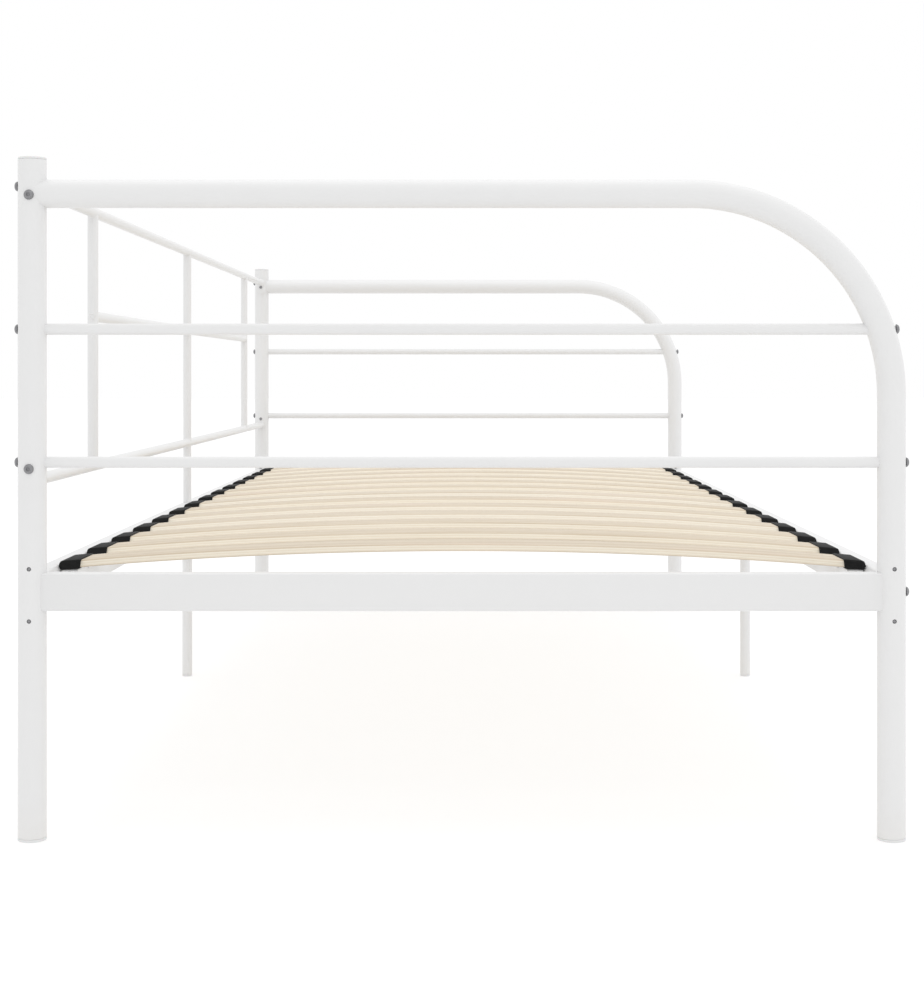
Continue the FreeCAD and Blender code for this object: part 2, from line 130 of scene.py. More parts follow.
class DaybedSizes(bpy.types.PropertyGroup):
    """Sizes that the frame's boxes don't give."""
    bend_radius: FloatProperty(name="Bend radius", description="Centre line of the arm's bend",
                               default=213 * MM, unit="LENGTH")
    rail_corner: FloatProperty(name="Rail corner", description="Outer corner of the rectangular rails",
                               default=2.5 * MM, unit="LENGTH")
    slat_thickness: FloatProperty(name="Slat thickness", description="Thickness of a plywood slat",
                                  default=8 * MM, unit="LENGTH")
    slat_corner: FloatProperty(name="Slat corner", description="Rounding along a slat's edges",
                               default=2.5 * MM, unit="LENGTH")
    plies: IntProperty(name="Plies", description="Layers of veneer in a slat", default=6, min=2)
    weld: FloatProperty(name="Weld", description="Width of a weld bead between two tubes",
                        default=1.8 * MM, unit="LENGTH")
    bolt_radius: FloatProperty(name="Bolt radius", description="Shank of the frame bolts",
                               default=3 * MM, unit="LENGTH")
    head_radius: FloatProperty(name="Head radius", description="Button head of the frame bolts",
                               default=HEAD_RADIUS, unit="LENGTH")
    head_height: FloatProperty(name="Head height", description="Height of the button heads",
                               default=3.3 * MM, unit="LENGTH")
    small_bolt: FloatProperty(name="Small bolt", description="Shank radius of the side rail bolts",
                              default=2 * MM, unit="LENGTH")
    small_head: FloatProperty(name="Small head", description="Head radius of the side rail bolts",
                              default=3.5 * MM, unit="LENGTH")
    cap_wall: FloatProperty(name="Cap wall", description="Plastic above and below a slat's end",
                            default=1.2 * MM, unit="LENGTH")
    cap_lean: FloatProperty(name="Cap lean", description="Slope of a cap's mouth", default=0.12)
    cap_nose: FloatProperty(name="Cap nose", description="Rounding of a cap's closed end",
                            default=4.5 * MM, unit="LENGTH")
    peg_spacing: FloatProperty(name="Peg spacing", description="Between the two pegs of a cap",
                               default=30 * MM, unit="LENGTH")
    peg_y: FloatProperty(name="Peg place", description="Pegs from the middle line of the bed",
                         default=436.4 * MM, unit="LENGTH")
    bracket_reach: FloatProperty(name="Bracket reach", description="Shelf of a bracket, from the rail",
                                 default=20 * MM, unit="LENGTH")
    bracket_wall: FloatProperty(name="Bracket", description="Steel of the brackets under the caps",
                                default=2 * MM, unit="LENGTH")
    arm_bolt_rise: FloatProperty(name="Arm bolt rise", description="Arm's bolt above the arm's centre",
                                 default=7.8 * MM, unit="LENGTH")
    back_bolt_drop: FloatProperty(name="Backrest bolt drop", description="Below the arm's centre",
                                  default=2.3 * MM, unit="LENGTH")
    low_bolt_drop: FloatProperty(name="Low bolt drop", description="Below the middle bar's centre",
                                 default=6.5 * MM, unit="LENGTH")
    rail_bolt_rise: FloatProperty(name="Rail bolt rise", description="Above the top of a side rail",
                                  default=5 * MM, unit="LENGTH")
    rail_bolt_drop: FloatProperty(name="Rail bolt drop", description="Below a side rail",
                                  default=10 * MM, unit="LENGTH")
    saddle_half_width: FloatProperty(name="Saddle half width", description="Half the width of a saddle",
                                     default=10 * MM, unit="LENGTH")
    segments: IntProperty(name="Segments", description="Facets round a large tube", default=48, min=24)


class DaybedColours(bpy.types.PropertyGroup):
    """Base colours of the finishes."""
    coat: FloatVectorProperty(name="Powder coat", description="White powder coat", subtype="COLOR",
                              default=(0.752, 0.752, 0.752))
    ply: FloatVectorProperty(name="Plywood", description="Light wood of the birch slats",
                             subtype="COLOR", default=(0.652, 0.565, 0.442))
    ply_dark: FloatVectorProperty(name="Plywood grain", description="Dark grain of the birch slats",
                                  subtype="COLOR", default=(0.552, 0.452, 0.326))
    # Edge colours: the birch's light end-on plies, painted lighter still so the shaded slat edges read as
    # bright as the faces (painted highlight)
    ply_edge_painted_lit: FloatVectorProperty(name="Plywood edge", description="Light plies on a slat's edges",
                                  subtype="COLOR", default=(0.945, 0.895, 0.785))
    ply_edge_dark_painted_lit: FloatVectorProperty(name="Plywood edge grain", description="Plies turned end on",
                                       subtype="COLOR", default=(0.82, 0.72, 0.575))
    plastic: FloatVectorProperty(name="Slat caps", description="Black plastic", subtype="COLOR",
                                 default=(0.015, 0.015, 0.015))
    steel: FloatVectorProperty(name="Bolts", description="Dull zinc on the bolts", subtype="COLOR",
                               default=(0.27, 0.27, 0.28))
    floor: FloatVectorProperty(name="Floor", description="Pale studio floor", subtype="COLOR",
                               default=(0.50, 0.50, 0.50))


class DaybedStudio(bpy.types.PropertyGroup):
    """Where the camera stands and how bright the studio is."""
    distance: FloatProperty(name="Distance", description="Camera to the near end frame",
                            default=1.888, unit="LENGTH")
    height: FloatProperty(name="Height", description="Camera above the floor", default=0.495,
                          unit="LENGTH")
    offset: FloatProperty(name="Offset", description="Camera from the bed's middle line",
                          default=-0.0131, unit="LENGTH")
    lens: FloatProperty(name="Lens", description="Focal length in millimetres", default=64.1)
    shift_x: FloatProperty(name="Shift X", description="Sideways shift of the lens", default=-0.0122)
    shift_y: FloatProperty(name="Shift Y", description="Vertical shift of the lens", default=-0.1274)
    ambient: FloatProperty(name="Ambient", description="Brightness of the white studio", default=1.0)


# ---------------------------------------------------------------- surfaces

def circle(radius, count):
    """Points of a circle: (radius cos t, radius sin t) for count even steps of t."""
    turn = np.arange(count) * math.tau / count
    return radius * np.stack([np.cos(turn), np.sin(turn)], -1)


def rounded_rectangle(width, height, corner, steps=5):
    """Rounded rectangle: a quarter circle round each corner's centre, so a point is
    (side (width / 2 - corner) + corner cos t, side (height / 2 - corner) + corner sin t).
    Width, height and corner may be arrays, which gives one outline for each of their values."""
    quarter = np.linspace(0, math.pi / 2, steps + 1)
    turn = np.concatenate([quarter + n * math.pi / 2 for n in range(4)])
    side_a = np.repeat([1, -1, -1, 1], steps + 1)
    side_b = np.repeat([1, 1, -1, -1], steps + 1)
    width, height, corner = (np.asarray(value, float)[..., None] for value in (width, height, corner))
    a = side_a * (width / 2 - corner) + corner * np.cos(turn)
    b = side_b * (height / 2 - corner) + corner * np.sin(turn)
    return np.stack([a, b], -1)


def grid_faces(rows, columns, wrap_rows=False):
    """Quads of a grid whose columns close on themselves; corner (i, j) has index i * columns + j."""
    i = np.arange(rows if wrap_rows else rows - 1)[:, None]
    j = np.arange(columns)[None, :]
    after = (j + 1) % columns
    above = (i + 1) % rows
    return np.stack([i * columns + j, i * columns + after, above * columns + after,
                     above * columns + j], -1).reshape(-1, 4)


def closed(points, quads, triangles):
    """A closed surface whose faces point outwards. Its signed volume, the sum of a . (b x c) / 6 over
    its triangles, is negative when it is inside out."""
    corners = np.concatenate([quads[:, [0, 1, 2]], quads[:, [0, 2, 3]], triangles])
    a, b, c = ((points - points.mean(0))[corners[:, n]] for n in range(3))
    if np.einsum("ij,ij->i", a, np.cross(b, c)).sum() < 0:
        quads, triangles = quads[:, ::-1], triangles[:, ::-1]
    return points, quads, triangles


def skin(rings, ring_shaped=False):
    """Surface through rings[i, j]; its two ends close on a point at the middle of the end ring,
    unless it is ring shaped, when the last ring joins the first."""
    rows, columns = rings.shape[:2]
    points = rings.reshape(-1, 3)
    quads = grid_faces(rows, columns, ring_shaped)
    if ring_shaped:
        return closed(points, quads, np.zeros((0, 3), int))
    poles = np.stack([rings[0].mean(0), rings[-1].mean(0)])
    j = np.arange(columns)
    after = (j + 1) % columns
    last = (rows - 1) * columns
    start = np.full(columns, len(points))
    fans = np.concatenate([np.stack([start, after, j], -1),
                           np.stack([start + 1, last + j, last + after], -1)])
    return closed(np.concatenate([points, poles]), quads, fans)


def carried(path, side, outline):
    """Rings of an outline carried along a path that lies in the plane square to side:
    path + a side + b (tangent x side), with (a, b) running round the outline."""
    tangent = np.gradient(path, axis=0)
    tangent /= np.linalg.norm(tangent, axis=1)[:, None]
    up = np.cross(tangent, side)
    outline = np.broadcast_to(outline, (len(path),) + outline.shape[-2:])
    return path[:, None] + outline[..., :1] * side + outline[..., 1:] * up[:, None]


def straight(start, end, outline, side):
    """Bar of one outline between two points, with both end edges eased by a fifth of a millimetre."""
    ease = 0.2 * MM
    start, end = np.asarray(start, float), np.asarray(end, float)
    along = (end - start) / np.linalg.norm(end - start)
    path = np.stack([start, start + along * ease, end - along * ease, end])
    shrink = 1 - ease / np.abs(outline).max()
    outlines = np.stack([outline * shrink, outline, outline, outline * shrink])
    up = np.cross(along, side)
    rings = path[:, None] + outlines[..., :1] * side + outlines[..., 1:] * up
    return skin(rings)


def turned(origin, direction, heights, radii, count, hexed=None, across=0.0):
    """Surface of revolution: at height h above origin along direction, a circle of radius r. Where
    hexed is 1 the circle is a hexagon instead, r = (across / 2) / cos(t folded into +-30 degrees)."""
    direction = np.asarray(direction, float)
    first = AXIS_Z if abs(direction[2]) < 0.5 else AXIS_X
    first = first - direction * first.dot(direction)
    second = np.cross(direction, first)
    turn = np.arange(count) * math.tau / count
    radius = np.repeat(np.asarray(radii, float)[:, None], count, 1)
    if hexed is not None:
        folded = (turn + math.pi / 6) % (math.pi / 3) - math.pi / 6
        side = across / 2 / np.cos(folded)
        radius = np.where(np.asarray(hexed)[:, None] > 0, side * np.sign(radius), radius)
    spoke = np.cos(turn)[:, None] * first + np.sin(turn)[:, None] * second
    rings = (np.asarray(origin) + np.asarray(heights, float)[:, None, None] * direction
             + radius[..., None] * spoke)
    return skin(rings)


def joined(parts):
    """Several closed surfaces as one list of points and faces."""
    points, quads, triangles, count = [], [], [], 0
    for part_points, part_quads, part_triangles in parts:
        points.append(part_points)
        quads.append(part_quads + count)
        triangles.append(part_triangles + count)
        count += len(part_points)
    return np.concatenate(points), np.concatenate(quads), np.concatenate(triangles)


SHARP_ANGLE = math.radians(40)


def add_piece(name, parts, nodes, slot="white_powder_coat", marks=None):
    """Make one object of closed surfaces, in place, with its slot's finish, hung on its body, and hide the
    CAD nodes that it replaces. Marks are values on its points, which its finish reads."""
    points, quads, triangles = joined(parts)
    mesh = bpy.data.meshes.new(name)
    mesh.from_pydata(points.tolist(), [], quads.tolist() + triangles.tolist())
    mesh.shade_smooth()
    mesh.set_sharp_from_angle(angle=SHARP_ANGLE)
    for mark, values in (marks or {}).items():
        kind = "FLOAT_VECTOR" if values.ndim == 2 else "FLOAT"
        layer = mesh.attributes.new(mark, kind, "POINT")
        layer.data.foreach_set("vector" if values.ndim == 2 else "value", values.ravel())
    mesh.materials.append(finish(slot))
    mesh.validate()
    piece = bpy.data.objects.new(name, mesh)
    bpy.context.scene.collection.objects.link(piece)
    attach(piece, BODY)
    if nodes:
        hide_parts(*nodes)


# ---------------------------------------------------------------- shaders

class Wire:
    """One value in a shader. Arithmetic on it adds Math nodes to its tree."""

    def __init__(self, tree, socket=None):
        self.tree = tree
        self.socket = socket

    def node(self, kind, settings=None, sockets=None, out=0):
        """Add a node of a kind, with its settings and then a value or a wire for each socket."""
        made = self.tree.nodes.new("ShaderNode" + kind)
        for key, value in (settings or {}).items():
            setattr(made, key, value)
        for key, value in (sockets or {}).items():
            if isinstance(value, Wire):
                self.tree.links.new(value.socket, made.inputs[key])
            else:
                made.inputs[key].default_value = value
        return Wire(self.tree, made.outputs[out])

    def __add__(self, other):
        return self.node("Math", {"operation": "ADD"}, {0: self, 1: other})

    def __sub__(self, other):
        return self.node("Math", {"operation": "SUBTRACT"}, {0: self, 1: other})

    def __rsub__(self, other):
        return self.node("Math", {"operation": "SUBTRACT"}, {0: other, 1: self})

    def __mul__(self, other):
        return self.node("Math", {"operation": "MULTIPLY"}, {0: self, 1: other})

    def __mod__(self, other):
        return self.node("Math", {"operation": "MODULO"}, {0: self, 1: other})

    __radd__ = __add__
    __rmul__ = __mul__


def start_finish(name):
    """An empty material and a wire that adds nodes to it."""
    material = bpy.data.materials.new(name + "_finish")
    material.use_nodes = True
    material.node_tree.nodes.clear()
    return material, Wire(material.node_tree)


def noise(start, place, scale, detail=2.0, roughness=0.5):
    """Smooth noise from 0 to 1, scale times a metre."""
    return start.node("TexNoise", None, {"Vector": place, "Scale": scale, "Detail": detail,
                                         "Roughness": roughness})


def ease_between(start, value, floor, ceiling):
    """0 below floor, 1 above ceiling and a smooth step between them."""
    return start.node("MapRange", {"interpolation_type": "SMOOTHSTEP"},
                      {"Value": value, "From Min": floor, "From Max": ceiling})


def blend_colours(start, factor, first, second, mode="MIX"):
    """First colour at factor 0 and second colour at factor 1, or another way of blending the two."""
    return start.node("Mix", {"data_type": "RGBA", "blend_type": mode},
                      {"Factor": factor, 6: first, 7: second}, out=2)


def shade(colour, factor=1.0):
    """A colour scaled in brightness, with full alpha."""
    return tuple(channel * factor for channel in colour[:3]) + (1.0,)


def stretched(start, place, across, along, depth):
    """Place with its three axes scaled apart, for grain."""
    return start.node("Mapping", None, {"Vector": place, "Scale": (across, along, depth)})


def end_finish(material, start, sockets):
    """Close a material with a Principled shader."""
    shader = start.node("BsdfPrincipled", None, sockets)
    output = start.tree.nodes.new("ShaderNodeOutputMaterial")
    start.tree.links.new(shader.socket, output.inputs["Surface"])
    return material


def powder_coat():
    """White powder coat: a faint orange peel, slow drifts of tone, fine scuffs, dust by the floor."""
    material, start = start_finish("white_powder_coat")
    place = start.node("TexCoord", out="Object")
    colour = tuple(bpy.context.scene.daybed_colours.coat)
    drift = noise(start, place, 2.2, 3.0)
    mottle = noise(start, place, 38.0, 4.0, 0.6)
    peel = noise(start, place, 420.0, 2.0)
    grit = noise(start, place, 1500.0, 1.0)
    scuff = ease_between(start, noise(start, stretched(start, place, 60.0, 22.0, 90.0), 1.0, 6.0, 0.7),
                         0.66, 0.74)
    height = start.node("SeparateXYZ", None, {"Vector": place}, out="Z")
    dust = 1.0 - ease_between(start, height + mottle * 0.03, 0.0, 0.07)
    tone = drift * 0.5 + mottle * 0.5
    body = blend_colours(start, tone, shade(colour, 0.975), shade(colour, 1.02))
    worn = blend_colours(start, scuff * 0.25, body, shade(colour, 0.86))
    dusty = blend_colours(start, dust * 0.35, worn, (0.74, 0.72, 0.69, 1.0))
    relief = peel * 0.8 + grit * 0.2
    bump = start.node("Bump", None, {"Strength": 0.35, "Distance": 0.05 * MM, "Height": relief})
    return end_finish(material, start, {
        "Base Color": dusty, "Roughness": mottle * 0.12 + scuff * 0.12 + dust * 0.15 + 0.30,
        "Specular IOR Level": 0.5, "Normal": bump})


def birch_ply():
    """Birch plywood: fibres and a slow flame figure along the slat on its faces, short pores, and on its
    edges the alternating plies with thin glue lines. The edges are light birch plies, painted lighter
    still than the faces as a painted highlight that offsets the shade falling on the slat edges. A clear
    lacquer lies over both."""
    material, start = start_finish("birch_ply")
    sizes = bpy.context.scene.daybed_sizes
    colours = bpy.context.scene.daybed_colours
    light, dark = tuple(colours.ply), tuple(colours.ply_dark)
    # Edge colours are light plies plus painted light that offsets the shade on the slat edges
    painted_lit_edge, painted_lit_edge_grain = tuple(colours.ply_edge_painted_lit), tuple(colours.ply_edge_dark_painted_lit)
    board = start.node("Attribute", {"attribute_name": "board"}, out="Vector")
    edge = start.node("Attribute", {"attribute_name": "edge"}, out="Fac")
    depth = start.node("Attribute", {"attribute_name": "depth"}, out="Fac")
    tone = start.node("Attribute", {"attribute_name": "tone"}, out="Fac")
    warp = noise(start, stretched(start, board, 9.0, 1.6, 1.0), 1.0, 3.0)
    across = start.node("SeparateXYZ", None, {"Vector": board}, out="X")
    figure = start.node("Math", {"operation": "SINE"}, {0: across * 260.0 + warp * 26.0}) * 0.5 + 0.5
    bands = noise(start, stretched(start, board, 26.0, 0.9, 1.0), 1.0, 4.0, 0.55)
    fibre = noise(start, stretched(start, board, 640.0, 9.0, 1.0), 1.0, 5.0, 0.65)
    pores = ease_between(start, noise(start, stretched(start, board, 1100.0, 60.0, 1.0), 1.0, 2.0),
                         0.64, 0.72)
    stain = ease_between(start, noise(start, stretched(start, board, 8.0, 2.4, 1.0), 1.0, 4.0), 0.52, 0.75)
    grain = figure * 0.22 + bands * 0.42 + fibre * 0.36
    face = blend_colours(start, ease_between(start, grain, 0.34, 0.80), shade(light), shade(dark))
    face = blend_colours(start, pores * 0.35, face, shade(dark, 0.72))
    face = blend_colours(start, stain * 0.3, face, (0.80, 0.63, 0.52, 1.0))
    layer = depth * float(sizes.plies)
    within = layer % 1.0
    glue = (1.0 - ease_between(start, within, 0.03, 0.12)) + ease_between(start, within, 0.90, 0.98)
    odd = start.node("Math", {"operation": "GREATER_THAN"}, {0: layer % 2.0, 1: 1.0})
    # Ply stripes and glue lines on the edges, in the edge colours that carry painted light
    plies = blend_colours(start, odd * 0.4 + fibre * 0.4, shade(painted_lit_edge), shade(painted_lit_edge_grain))
    plies = blend_colours(start, glue * 0.4, plies, shade(painted_lit_edge_grain, 0.72))
    wood = blend_colours(start, ease_between(start, edge, 0.72, 0.95), face, plies)
    wood = blend_colours(start, tone * 0.4, wood, (0.95, 0.91, 0.84, 1.0), "MULTIPLY")
    relief = fibre * 0.7 - pores * 0.6 + glue * edge * -0.5
    bump = start.node("Bump", None, {"Strength": 0.4, "Distance": 0.12 * MM, "Height": relief})
    return end_finish(material, start, {
        "Base Color": wood, "Roughness": fibre * 0.16 + pores * 0.12 + 0.38, "Normal": bump,
        "Specular IOR Level": 0.35, "Coat Weight": 0.08, "Coat Roughness": 0.28})


def black_plastic():
    """Moulded black polypropylene: a fine spark-eroded texture, flow marks and greyed rub marks."""
    material, start = start_finish("black_plastic")
    place = start.node("TexCoord", out="Object")
    colour = tuple(bpy.context.scene.daybed_colours.plastic)
    flow = noise(start, stretched(start, place, 30.0, 110.0, 60.0), 1.0, 4.0, 0.6)
    spark = noise(start, place, 1900.0, 2.0, 0.6)
    rub = ease_between(start, noise(start, place, 240.0, 5.0, 0.7), 0.60, 0.74)
    body = blend_colours(start, flow, shade(colour, 0.8), shade(colour, 1.5))
    body = blend_colours(start, rub * 0.3, body, (0.026, 0.026, 0.027, 1.0))
    bump = start.node("Bump", None, {"Strength": 0.5, "Distance": 0.04 * MM, "Height": spark})
    return end_finish(material, start, {
        "Base Color": body, "Roughness": spark * 0.15 + rub * 0.12 + 0.50,
        "Specular IOR Level": 0.04, "Normal": bump})


def white_plastic():
    """White polyethylene plugs: slightly warm, waxy, with a fine matte texture and rub marks."""
    material, start = start_finish("white_plastic")
    place = start.node("TexCoord", out="Object")
    colour = tuple(bpy.context.scene.daybed_colours.coat)
    cloud = noise(start, place, 90.0, 4.0, 0.6)
    fine = noise(start, place, 1300.0, 2.0)
    rub = ease_between(start, noise(start, place, 300.0, 5.0, 0.7), 0.60, 0.72)
    body = blend_colours(start, cloud, shade(colour, 0.955), shade(colour))
    body = blend_colours(start, rub * 0.3, body, (0.66, 0.65, 0.63, 1.0))
    bump = start.node("Bump", None, {"Strength": 0.4, "Distance": 0.04 * MM, "Height": fine})
    return end_finish(material, start, {
        "Base Color": body, "Roughness": cloud * 0.1 + 0.42, "Normal": bump,
        "Subsurface Weight": 0.05, "Subsurface Scale": 2 * MM})


def zinc_steel():
    """Dull zinc plate: soft blotches, fine turning marks and darker rubbed spots."""
    material, start = start_finish("zinc_steel")
    place = start.node("TexCoord", out="Object")
    colour = tuple(bpy.context.scene.daybed_colours.steel)
    blotch = noise(start, place, 420.0, 5.0, 0.65)
    fine = noise(start, place, 2600.0, 2.0)
    spots = ease_between(start, noise(start, place, 900.0, 3.0), 0.58, 0.70)
    body = blend_colours(start, blotch, shade(colour, 0.75), shade(colour, 1.3))
    body = blend_colours(start, spots * 0.5, body, shade(colour, 0.45))
    bump = start.node("Bump", None, {"Strength": 0.5, "Distance": 0.03 * MM, "Height": fine})
    return end_finish(material, start, {
        "Base Color": body, "Metallic": 0.85, "Roughness": blotch * 0.25 + spots * 0.1 + 0.32,
        "Normal": bump})


def studio_floor():
    """Pale smooth studio floor with the faintest clouding. It glows a little, which thins shadows."""
    material, start = start_finish("studio_floor")
    place = start.node("TexCoord", out="Object")
    colour = tuple(bpy.context.scene.daybed_colours.floor)
    cloud = noise(start, place, 1.3, 4.0)
    body = blend_colours(start, cloud, shade(colour, 0.99), shade(colour))
    return end_finish(material, start, {
        "Base Color": body, "Roughness": cloud * 0.05 + 0.75, "Emission Color": WHITE,
        "Emission Strength": 0.50})


FINISHES = {"white_powder_coat": powder_coat, "birch_ply": birch_ply, "black_plastic": black_plastic,
            "white_plastic": white_plastic, "zinc_steel": zinc_steel, "studio_floor": studio_floor}


def finish(name):
    """A finish, made the first time that it is asked for. The ending of its name keeps it apart from
    the frame's plain materials, which are named after the slots."""
    return bpy.data.materials.get(name + "_finish") or FINISHES[name]()


# ---------------------------------------------------------------- parts of the frame

def arm_path(x, sizes):
    """Centre line of an arm: level from the post, a quarter circle, and down the front leg. In the
    bend a point is (bend_y - radius cos t, bend_z + radius sin t)."""
    radius = sizes.bend_radius
    bend_y, bend_z = radius - post_y, arm_z - radius
    turn = np.linspace(math.pi / 2, 0, 61)[1:-1]
    bend = np.stack([np.full(len(turn), x), bend_y - radius * np.cos(turn),
                     bend_z + radius * np.sin(turn)], -1)
    hidden_end = post_y - 2 * MM
    level = np.array([[x, hidden_end, arm_z], [x, bend_y, arm_z]])
    rows = leg_rows(bend_z, sizes)[::-1]
    leg = np.stack([np.full(len(rows), x), np.full(len(rows), -post_y), rows], -1)
    return np.concatenate([level, bend, leg])


def arm_y(z, sizes, offset=0.0):
    """Y of the arm's centre line at a height, or offset from it to the outer side."""
    bend_y, bend_z = sizes.bend_radius - post_y, arm_z - sizes.bend_radius
    if z <= bend_z:
        return -post_y - offset
    return bend_y - math.sqrt((sizes.bend_radius + offset) ** 2 - (z - bend_z) ** 2)


def bolt_places(sizes):
    """Heights of the two side rail bolts on every post."""
    return rail_low - sizes.rail_bolt_drop, rail_high + sizes.rail_bolt_rise


# Blind holes in the posts and front legs
HOLE_CELLS = 3              # cells of the tube's grid on each side of a hole's centre
HOLE_ROW = 2 * MM           # height of those cells
HOLE_EASE = 0.3 * MM        # rounding of a hole's rim
HOLE_DEPTH = 3.5 * MM
HOLE_BLEND = (0.34, 0.67, 1.0)


def leg_rows(top, sizes):
    """Heights of the rings of a post: even rows beside each hole, and an eased foot edge."""
    beside = np.arange(-HOLE_CELLS, HOLE_CELLS + 1) * HOLE_ROW
    rows = [foot_seam, foot_seam + EDGE]
    for z in bolt_places(sizes):
        rows.extend(z + beside)
    return np.array(rows + [top])


def pierced(rings, centre, facing, heights, hole):
    """Tube with blind round holes on the side, facing along +-X, that column 0 is on. A block of
    cells round each hole gives way to rings that blend from the block's edge to the hole, as
    edge + t (circle - edge), laid on the tube as (radius cos(s / radius), radius sin(s / radius), z)."""
    rows, columns = rings.shape[:2]
    points, quads, triangles = skin(rings)
    steps = np.arange(-HOLE_CELLS, HOLE_CELLS + 1)
    ahead, end = steps[:-1], np.full(2 * HOLE_CELLS, HOLE_CELLS)
    loop_row = np.concatenate([-end, ahead, end, -ahead])
    loop_column = np.concatenate([ahead, end, -ahead, -end])
    size = len(loop_row)
    new_points, new_quads, new_fans, gone = [points], [], [], np.zeros(len(quads), bool)
    count = len(points)
    for z in heights:
        row = int(np.argmin(np.ptp(rings[..., 2], axis=1) + np.abs(rings[:, 0, 2] - z)))
        index = (row + loop_row) * columns + loop_column % columns
        edge = np.stack([loop_column * math.tau * post_radius / columns, points[index, 2] - z], -1)
        spoke = edge / np.linalg.norm(edge, axis=1)[:, None]
        laid = [(edge + (spoke * (hole + HOLE_EASE) - edge) * t, 0.0) for t in HOLE_BLEND]
        laid += [(spoke * hole, HOLE_EASE), (spoke * hole, HOLE_DEPTH)]
        loops = [index]
        for flat, sunk in laid:
            turn = flat[:, 0] / post_radius
            new_points.append(np.stack([centre[0] + facing * (post_radius * np.cos(turn) - sunk),
                                        centre[1] + facing * post_radius * np.sin(turn),
                                        z + flat[:, 1]], -1))
            loops.append(count + np.arange(size))
            count += size
        new_points.append(new_points[-1].mean(0)[None])
        strips = [np.stack([outer, np.roll(outer, -1), np.roll(inner, -1), inner], -1)
                  for outer, inner in zip(loops, loops[1:])]
        fan = np.stack([loops[-1], np.roll(loops[-1], -1), np.full(size, count)], -1)
        count += 1
        first = points[strips[0][:, :2]]
        winding = np.cross(first[:, 0] - [*centre, z], first[:, 1] - [*centre, z]).sum(0)[0]
        if winding * facing < 0:
            strips, fan = [strip[:, ::-1] for strip in strips], fan[:, ::-1]
        new_quads += strips
        new_fans.append(fan)
        block = ((row + steps)[:, None] * columns + steps % columns).ravel()
        gone |= np.isin(quads, block).all(1)
    return (np.concatenate(new_points), np.concatenate([quads[~gone]] + new_quads),
            np.concatenate([triangles] + new_fans))


def post_surface(x, y, facing, sizes):
    """Upright post: rings of a circle, open to the two side rail bolts on its outer side."""
    rows = np.append(leg_rows(cap_seam - EDGE, sizes), cap_seam)
    turn = math.atan2(0, facing) + np.arange(sizes.segments) * math.tau / sizes.segments
    radius = np.full(len(rows), post_radius)
    radius[[0, -1]] -= EDGE
    rings = np.stack([x + radius[:, None] * np.cos(turn), y + radius[:, None] * np.sin(turn),
                      np.broadcast_to(rows[:, None], (len(rows), len(turn)))], -1)
    return pierced(rings, (x, y), facing, bolt_places(sizes), sizes.small_bolt + HOLE_SLACK)


def arm_surface(x, facing, sizes):
    """Arched arm: a circle carried along the arm's centre line, with the same two holes."""
    path = arm_path(x, sizes)
    upright = len(leg_rows(arm_z, sizes))
    tangent = np.gradient(path, axis=0)
    tangent[:2] = -AXIS_Y
    tangent[-upright:] = -AXIS_Z
    tangent /= np.linalg.norm(tangent, axis=1)[:, None]
    up = np.cross(AXIS_X, tangent) * facing
    turn = np.arange(sizes.segments) * math.tau / sizes.segments
    radius = np.full(len(path), post_radius)
    radius[-1] -= EDGE
    rings = (path[:, None] + radius[:, None, None] * (np.cos(turn)[:, None] * AXIS_X * facing
             + np.sin(turn)[None, :, None] * up[:, None]))
    return pierced(rings, (x, -post_y), facing, bolt_places(sizes), sizes.small_bolt + HOLE_SLACK)


def end_frame(name, side, sizes):
    """Post, arm, bars and cross rail of one end."""
    x = side * post_x
    add_piece(name + "_post_tube", [post_surface(x, post_y, side, sizes)], [name + "_back_post"])
    add_piece(name + "_arched_arm", [arm_surface(x, side, sizes)], [name + "_arm_tube"])
    for part, z in (("upper", upper_bar_z), ("middle", middle_bar_z)):
        start = (x, post_y - post_radius + BAR_TUCK, z)
        bar = straight(start, (x, arm_y(z, sizes), z), circle(bar_radius, sizes.segments // 2), AXIS_X)
        add_piece(name + "_" + part + "_round_bar", [bar], [name + "_" + part + "_bar"])
    outline = rounded_rectangle(rail_width, rail_high - rail_low, sizes.rail_corner)
    reach = post_y - post_radius + RAIL_TUCK
    rail = straight((x, -reach, rail_z), (x, reach, rail_z), outline, AXIS_X)
    add_piece(name + "_cross_tube", [rail], [name + "_cross_rail"])


def eased_plug(x, y, radius, bottom, top, ease, count):
    """Short round flange with both edges rounded: quarter circles of radius ease in profile."""
    quarter = np.linspace(0, math.pi / 2, 5)
    heights = np.concatenate([bottom + ease * (1 - np.cos(quarter)), top - ease * (1 - np.sin(quarter))])
    radii = np.concatenate([radius - ease * (1 - np.sin(quarter)), radius - ease * (1 - np.cos(quarter))])
    return turned((x, y, 0.0), AXIS_Z, heights, radii, count)


def saddle(x, y, side, bottom, top, sizes):
    """Plate that hugs a post: at height z its half width is w(z), the outline of a slot shape, and a
    point is (radius cos t, radius sin t) with sin t = s w / radius, out on one face and back in."""
    half = sizes.saddle_half_width
    nearly_square = 0.97 * math.pi / 2      # short of a right angle, so each end keeps some width
    turn = np.linspace(-nearly_square, 0, 12)
    z = np.concatenate([bottom + half + half * np.sin(turn), top - half - half * np.sin(turn[::-1])])
    wide = np.concatenate([half * np.cos(turn), half * np.cos(turn[::-1])])
    s = np.linspace(-1, 1, 17)
    outer = wide[:, None] * s
    inner = outer[:, ::-1]
    outer_x = np.sqrt(saddle_radius ** 2 - outer ** 2)
    hugging = post_radius + 0.02 * MM
    inner_x = np.sqrt(hugging ** 2 - inner ** 2)
    across = np.concatenate([outer, inner], 1)
    out = np.concatenate([outer_x, inner_x], 1)
    rings = np.stack([x - side * out, y + across, np.broadcast_to(z[:, None], out.shape)], -1)
    return skin(rings)


